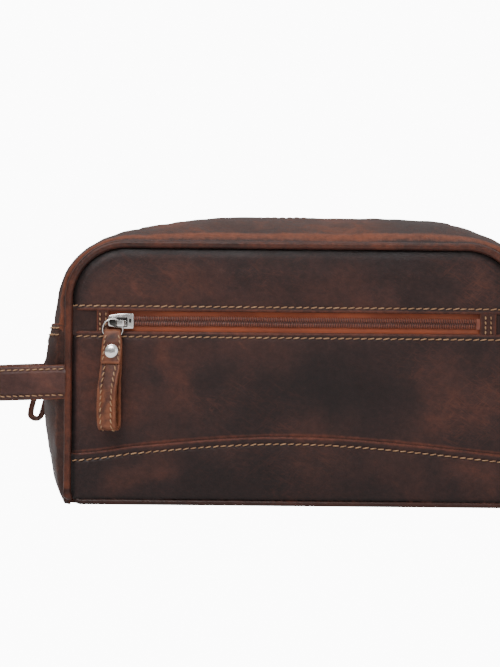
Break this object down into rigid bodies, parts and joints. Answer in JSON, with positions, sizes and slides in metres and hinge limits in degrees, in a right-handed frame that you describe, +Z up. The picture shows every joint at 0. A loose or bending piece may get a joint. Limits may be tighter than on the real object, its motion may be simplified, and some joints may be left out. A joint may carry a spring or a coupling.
{
  "type": "leather shaving kit bag",
  "caption": "Soft leather shaving kit bag with piped panels, a front zip pocket, a zip over the top and a loop handle on one end.",
  "frame": {"origin": "centre of the flat base, on the floor plane", "axes": "+X along the width to the viewer's right, -Y out of the front with its zip pocket, +Z up"},
  "size_m": [0.3378, 0.112, 0.1606],
  "materials": {
    "leather_dark": "waxed pull-up leather, satin",
    "leather_worn": "worn, folded and burnished leather",
    "leather_lining": "matt flesh side",
    "zip_tape": "woven polyester tape",
    "zip_coil": "nylon coil",
    "lining_cloth": "plain woven cotton",
    "board": "grey-brown stiffener board",
    "nickel": "bright nickel plate"
  },
  "bodies": {
    "bag": {"front_upper_panel": "leather_dark", "front_lower_panel": "leather_dark", "front_arch_band": "leather_dark", "back_panel": "leather_dark", "side_gusset_left": "leather_dark", "side_gusset_right": "leather_dark", "base_gusset": "leather_dark", "zip_gusset_left_front": "leather_dark", "zip_gusset_left_back": "leather_dark", "zip_gusset_right_front": "leather_dark", "zip_gusset_right_back": "leather_dark", "handle_root_front": "leather_dark", "handle_root_back": "leather_dark", "front_end_strip_left": "leather_worn", "front_end_strip_right": "leather_worn", "front_zip_tab_left": "leather_worn", "front_zip_tab_right": "leather_worn", "front_piping": "leather_worn", "back_piping": "leather_worn", "front_zip_tape_upper": "zip_tape", "front_zip_tape_lower": "zip_tape", "main_tape_left_front": "zip_tape", "main_tape_left_back": "zip_tape", "main_tape_right_front": "zip_tape", "main_tape_right_back": "zip_tape", "front_zip_coil_upper": "zip_coil", "front_zip_coil_lower": "zip_coil", "main_coil_left_front": "zip_coil", "main_coil_left_back": "zip_coil", "main_coil_right_front": "zip_coil", "main_coil_right_back": "zip_coil", "front_pocket_bag": "lining_cloth", "front_seam_binding": "lining_cloth", "back_seam_binding": "lining_cloth", "main_lining": "lining_cloth", "base_board": "board", "front_zip_stop": "nickel"},
    "front_flap": {"flap_leather_front": "leather_dark", "flap_tape_front": "zip_tape", "flap_coil_front": "zip_coil", "flap_lining_front": "lining_cloth"},
    "back_flap": {"flap_leather_back": "leather_dark", "flap_tape_back": "zip_tape", "flap_coil_back": "zip_coil", "flap_lining_back": "lining_cloth"},
    "front_zip_slider": {"front_slider_body": "nickel"},
    "front_zip_ring": {"front_ring": "nickel"},
    "front_zip_pull": {"front_pull_strip": "leather_worn", "front_pull_flap": "leather_worn", "front_pull_rivet": "nickel"},
    "main_zip_slider": {"main_slider_body": "nickel"},
    "main_zip_ring": {"main_ring": "nickel"},
    "main_zip_pull": {"main_pull_strip": "leather_worn", "main_pull_flap": "leather_worn", "main_pull_rivet": "nickel"},
    "handle": {"handle_outer": "leather_dark", "handle_lining": "leather_lining"}
  },
  "joints": [
    {"name": "front_flap_lift", "type": "hinge", "parent": "bag", "child": "front_flap", "pos_m": [0, -0.046, 0.146], "axis": [1, 0, 0], "range_deg": [0, 75]},
    {"name": "back_flap_lift", "type": "hinge", "parent": "bag", "child": "back_flap", "pos_m": [0, 0.046, 0.146], "axis": [-1, 0, 0], "range_deg": [0, 75]},
    {"name": "front_slider_run", "type": "slide", "parent": "bag", "child": "front_zip_slider", "axis": [1, 0, 0], "range_m": [0, 0.187]},
    {"name": "front_ring_lift", "type": "hinge", "parent": "front_zip_slider", "child": "front_zip_ring", "pos_m": [-0.09589, -0.0542, 0.09996], "axis": [-0.5736, 0, 0.8192], "range_deg": [0, 100]},
    {"name": "front_pull_swing", "type": "hinge", "parent": "front_zip_ring", "child": "front_zip_pull", "pos_m": [-0.1004, -0.0542, 0.0968], "axis": [0, 1, 0], "range_deg": [-28, 35]},
    {"name": "main_slider_run", "type": "hinge", "parent": "bag", "child": "main_zip_slider", "pos_m": [-0.08, 0, 0.107], "axis": [0, 1, 0], "range_deg": [0, 82]},
    {"name": "main_ring_lift", "type": "hinge", "parent": "main_zip_slider", "child": "main_zip_ring", "pos_m": [-0.13057, 0, 0.10676], "axis": [0, 1, 0], "range_deg": [0, 25]},
    {"name": "main_pull_swing", "type": "hinge", "parent": "main_zip_ring", "child": "main_zip_pull", "pos_m": [-0.13193, 0, 0.10144], "axis": [0.9688, 0, -0.2478], "range_deg": [-6, 6]},
    {"name": "handle_swing", "type": "hinge", "parent": "bag", "child": "handle", "pos_m": [-0.138, 0, 0.0685], "axis": [0, 1, 0], "range_deg": [-65, 65]}
  ]
}
